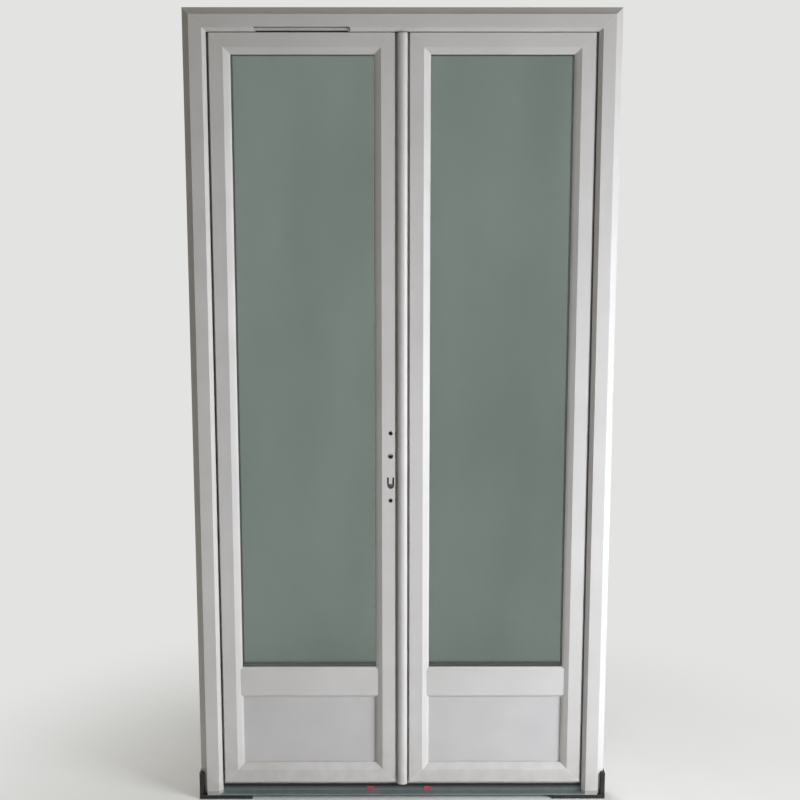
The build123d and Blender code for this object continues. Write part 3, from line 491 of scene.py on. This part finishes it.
# Each keep's open face is the lower or the upper one of its box
for keep, open_corner, outward in (("head_keep", 0, (0, 0, -1)), ("threshold_keep", 1, (0, 0, 1))):
    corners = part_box(keep)
    middle = (corners[0] + corners[1]) / 2
    reach = (corners[1].x - corners[0].x) / 2 - PLATE_INSET
    face_z = corners[open_corner].z
    places = [(middle.x + turn * reach, middle.y, face_z) for turn in (-1, 1)]
    screws(f"{keep}_screws", "frame", places, outward)

# Hinges: each knuckle is in two halves of this height, the lower on the frame, the upper on the leaf
KNUCKLE = 40 * MM
KNUCKLE_GAP = 0.3 * MM
CAP_RADIUS = 7.5 * MM
CAP_RISE = 3 * MM
CAP_SIDES = 32
CAP_STEPS = 5


def hinge_caps(name, body, axis, heights, up):
    """Domed caps that close the ends of the hinge knuckles; up is 1 for upper ends and -1 for lower"""
    mesh = bmesh.new()
    axis_x, axis_y = axis
    angles = [2 * pi * i / CAP_SIDES for i in range(CAP_SIDES)]
    for z in heights:
        rings = []
        for step in range(CAP_STEPS):
            slope = pi / 2 * step / CAP_STEPS
            r, level = CAP_RADIUS * cos(slope), z + up * CAP_RISE * sin(slope)
            points = [(axis_x + r * cos(angle), axis_y + r * sin(angle), level) for angle in angles]
            rings.append([mesh.verts.new(point) for point in points])
        for first, second in zip(rings, rings[1:]):
            for i in range(CAP_SIDES):
                mesh.faces.new((first[i - 1], first[i], second[i], second[i - 1]))
        top = mesh.verts.new((axis_x, axis_y, z + up * CAP_RISE))
        for i in range(CAP_SIDES):
            mesh.faces.new((rings[-1][i - 1], rings[-1][i], top))
    finished(name, mesh, finishes["hinge_white"], body, smooth=True)


for side in ("left", "right"):
    pin_low, pin_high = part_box(f"{side}_hinge_pins")
    pin_axis = ((pin_low.x + pin_high.x) / 2, (pin_low.y + pin_high.y) / 2)
    lowest, highest = pin_low.z, pin_high.z - 2 * KNUCKLE
    knuckle_feet = (lowest, (lowest + highest) / 2, highest)
    knuckle_tops = [z + 2 * KNUCKLE + KNUCKLE_GAP for z in knuckle_feet]
    hinge_caps(f"{side}_lower_hinge_caps", "frame", pin_axis, knuckle_feet, up=-1)
    hinge_caps(f"{side}_upper_hinge_caps", f"{side}_leaf", pin_axis, knuckle_tops, up=1)

# Forked lever in the lock, in mm from the cylinder's middle: it shows through the upper part of the
# cylinder hole and leaves the way in free
FORK_HALF, FORK_TOP, FORK_BOTTOM = 11.5, 6.0, -19.0
NOTCH_HALF, NOTCH_TOP = 5.0, -11.0
FORK_THICKNESS = 2.0 * MM
FORK_EDGE = 0.3 * MM
fork_outline = [
    (-FORK_HALF, FORK_TOP),
    (FORK_HALF, FORK_TOP),
    (FORK_HALF, FORK_BOTTOM),
    (NOTCH_HALF, FORK_BOTTOM),
    (NOTCH_HALF, NOTCH_TOP),
    (-NOTCH_HALF, NOTCH_TOP),
    (-NOTCH_HALF, FORK_BOTTOM),
    (-FORK_HALF, FORK_BOTTOM),
]
pinion_low, pinion_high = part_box("lock_pinion")
bolt_low, bolt_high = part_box("deadbolt")
fork_x, fork_z = (pinion_low.x + pinion_high.x) / 2, (bolt_low.z + bolt_high.z) / 2
fork_y = plate_y + FORK_THICKNESS
fork = bmesh.new()
fork_verts = [fork.verts.new((fork_x + x * MM, fork_y, fork_z + z * MM)) for x, z in fork_outline]
fork_face = fork.faces.new(fork_verts)
pushed = bmesh.ops.extrude_face_region(fork, geom=[fork_face])["geom"]
pushed = [item for item in pushed if isinstance(item, bmesh.types.BMVert)]
bmesh.ops.translate(fork, verts=pushed, vec=(0, FORK_THICKNESS, 0))
bmesh.ops.bevel(fork, geom=list(fork.edges), offset=FORK_EDGE, segments=2, affect="EDGES")
# Phosphated steel is dark and matt, so the lever stands out in the hole
phosphated_steel = rolled_metal("phosphated_steel", "#3b3b38", "#2f2f2d", 0.5)
finished("lock_cylinder_fork", fork, phosphated_steel, "left_leaf")

# Floor: pale and plain, it keeps the shadow near the doors and melts into the background further out
BACKGROUND = "#e3e4e2"
FLOOR_RADIUS = 30.0
FLOOR_SIDES = 96
SHADOW_NEAR, SHADOW_FAR = 0.35, 1.7


def seen_directly(tree):
    """Factor that is 1 for rays from the camera, mirrors and glass, and 0 for rays that carry light"""
    path = add_node(tree, "ShaderNodeLightPath")
    total = path.outputs["Is Camera Ray"]
    for other in ("Is Glossy Ray", "Is Transmission Ray"):
        total = add_node(
            tree, "ShaderNodeMath", {"operation": "MAXIMUM"}, links={0: total, 1: path.outputs[other]}
        ).outputs[0]
    return total


def pale_floor(name):
    """Matt floor paint with faint mottling"""
    material, tree, shader, place = new_material(name)
    cloud = noise_between(tree, place, size_mm=300)
    tree.links.new(mixed(tree, cloud, "#f0f0ee", "#eaebe9"), shader.inputs["Base Color"])
    shader.inputs["Roughness"].default_value = 0.85
    distance = add_node(tree, "ShaderNodeVectorMath", {"operation": "LENGTH"}, links={0: place})
    far = add_node(
        tree,
        "ShaderNodeMapRange",
        {"interpolation_type": "SMOOTHSTEP"},
        inputs={"From Min": SHADOW_NEAR, "From Max": SHADOW_FAR},
        links={"Value": distance.outputs["Value"]},
    )
    plain_far = product(tree, far.outputs[0], seen_directly(tree))
    glow = add_node(tree, "ShaderNodeEmission", inputs={"Color": hex_color(BACKGROUND), "Strength": 1.0})
    blend = add_node(
        tree,
        "ShaderNodeMixShader",
        links={0: plain_far, 1: shader.outputs[0], 2: glow.outputs[0]},
    )
    output = next(node for node in tree.nodes if node.type == "OUTPUT_MATERIAL")
    tree.links.new(blend.outputs[0], output.inputs["Surface"])
    return material


floor_mesh = bmesh.new()
bmesh.ops.create_circle(floor_mesh, cap_ends=True, segments=FLOOR_SIDES, radius=FLOOR_RADIUS)
floor_data = bpy.data.meshes.new("studio_floor")
floor_mesh.to_mesh(floor_data)
floor_mesh.free()
floor_data.materials.append(pale_floor("matt_floor_paint"))
floor = bpy.data.objects.new("studio_floor", floor_data)
bpy.context.scene.collection.objects.link(floor)

# World: soft light that grows from the horizon to the top, and the plain background where seen directly
HORIZON_LIGHT, TOP_LIGHT = 0.04, 0.17
world = bpy.data.worlds.new("studio_world")
bpy.context.scene.world = world
world.use_nodes = True
sky = world.node_tree
sky.nodes.clear()
direction = add_node(sky, "ShaderNodeTexCoord").outputs["Generated"]
height = add_node(sky, "ShaderNodeSeparateXYZ", links={0: direction}).outputs["Z"]
dome = add_node(
    sky,
    "ShaderNodeMapRange",
    inputs={"From Min": 0.0, "From Max": 1.0, "To Min": HORIZON_LIGHT, "To Max": TOP_LIGHT},
    links={"Value": height},
)
soft = add_node(
    sky,
    "ShaderNodeBackground",
    inputs={"Color": hex_color("#fff0d4")},
    links={"Strength": dome.outputs[0]},
)
plain = add_node(sky, "ShaderNodeBackground", inputs={"Color": hex_color(BACKGROUND), "Strength": 1.0})
either = add_node(
    sky,
    "ShaderNodeMixShader",
    links={0: seen_directly(sky), 1: soft.outputs[0], 2: plain.outputs[0]},
)
add_node(sky, "ShaderNodeOutputWorld", links={"Surface": either.outputs[0]})


def soft_box(name, place, target, size, power, color, spread=180):
    """Square area lamp at a place, turned to a target; it isn't seen through the panes"""
    lamp = bpy.data.lights.new(name, "AREA")
    lamp.shape = "SQUARE"
    lamp.size = size
    lamp.energy = power
    lamp.spread = radians(spread)
    lamp.color = hex_color(color)[:3]
    holder = bpy.data.objects.new(name, lamp)
    holder.location = place
    holder.rotation_euler = (Vector(target) - Vector(place)).to_track_quat("-Z", "Y").to_euler()
    holder.visible_transmission = False
    bpy.context.scene.collection.objects.link(holder)
    return holder


# Lamps: one low at the right, a weak one from high in front, and one for the room side
soft_box(
    "window_light",
    place=(2.5, -1.65, 1.3),
    target=(0.0, 0.0, 0.4),
    size=1.5,
    power=48,
    color="#f6f9ff",
    spread=120,
)
high_fill = soft_box(
    "high_fill",
    place=(0.8, -2.3, 4.4),
    target=(0.0, 0.0, 1.2),
    size=2.0,
    power=11,
    color="#f8f6f2",
)
high_fill.visible_glossy = False
soft_box(
    "back_light",
    place=(-1.0, 3.2, 4.4),
    target=(0.0, 0.4, 0.5),
    size=1.8,
    power=100,
    color="#ffffff",
)

camera_data = bpy.data.cameras.new("view")
camera_data.lens = CAMERA_LENS
camera_data.sensor_width = CAMERA_SENSOR
camera = bpy.data.objects.new("view", camera_data)
camera.location = CAMERA_PLACE
camera.rotation_euler = (pi / 2 + CAMERA_TILT, 0, -CAMERA_TURN)
bpy.context.scene.collection.objects.link(camera)
bpy.context.scene.camera = camera
bpy.context.scene.view_settings.view_transform = "Standard"
